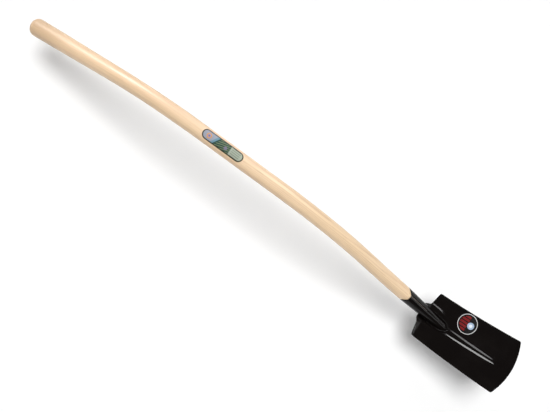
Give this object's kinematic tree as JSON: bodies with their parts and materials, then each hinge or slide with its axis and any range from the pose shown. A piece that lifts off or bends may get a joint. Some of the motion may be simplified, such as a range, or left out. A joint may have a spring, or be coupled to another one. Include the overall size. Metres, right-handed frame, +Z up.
{
  "type": "trenching spade",
  "caption": "Trenching spade with a narrow dished steel blade, an open-seam tapered socket welded to its face and a long bent ash handle.",
  "frame": {"origin": "on the floor under the middle of the bounding box of the tool as it lies face up", "axes": "+X from the grip end towards the cutting edge, +Z up off the floor the tool lies on, +Y to the side of the blade that touches the floor"},
  "size_m": [1.409, 0.1478, 0.1894],
  "materials": {
    "ash_wood": "clear lacquer, semi-gloss",
    "black_enamel": "glossy black enamel on sheet steel",
    "handle_label_print": null,
    "blade_sticker_print": null
  },
  "bodies": {
    "root": {"handle": "ash_wood", "socket": "black_enamel", "blade": "black_enamel", "face_weld": "black_enamel", "heel_weld": "black_enamel", "socket_rivet": "black_enamel", "handle_label": "handle_label_print", "blade_sticker": "blade_sticker_print"}
  },
  "joints": []
}
